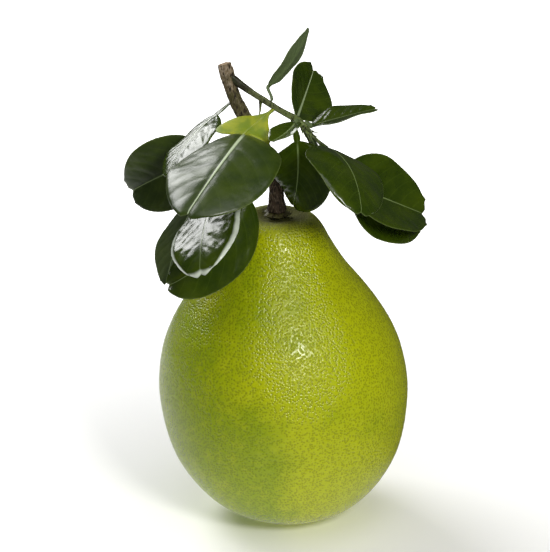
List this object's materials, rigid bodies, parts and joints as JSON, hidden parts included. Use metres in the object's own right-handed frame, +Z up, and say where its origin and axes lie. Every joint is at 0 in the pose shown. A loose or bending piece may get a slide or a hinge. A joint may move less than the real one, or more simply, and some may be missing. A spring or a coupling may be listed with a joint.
{
  "type": "pomelo",
  "caption": "Whole pear-shaped pomelo as picked, standing on its blossom end, with its calyx, woody fruit stalk and a leafy side shoot.",
  "frame": {"origin": "centre of the small flat spot at the blossom end that the fruit stands on", "axes": "+Z up through the fruit towards its stalk; +X to the side where the tip of the leafy shoot hangs; the large front leaf points towards -Y"},
  "size_m": [0.1817, 0.1755, 0.2996],
  "materials": {
    "rind": "waxy yellow-green citrus rind with fine oil glands",
    "calyx": "dull dry green-brown",
    "bark": "rough grey-brown bark",
    "green_bark": "young green bark",
    "leaf": "glossy dark green leaf"
  },
  "bodies": {
    "root": {"fruit": "rind", "calyx": "calyx", "stalk": "bark", "side_shoot": "green_bark", "spine": "green_bark", "leaf_front": "leaf", "leaf_upper_left": "leaf", "leaf_far_left": "leaf", "leaf_low_bright": "leaf", "leaf_low_green": "leaf", "leaf_low_back": "leaf", "leaf_centre": "leaf", "leaf_right_front": "leaf", "leaf_right": "leaf", "leaf_right_low": "leaf", "leaf_edge_on": "leaf", "leaf_upright": "leaf", "leaf_narrow": "leaf", "leaf_folded": "leaf"}
  },
  "joints": []
}
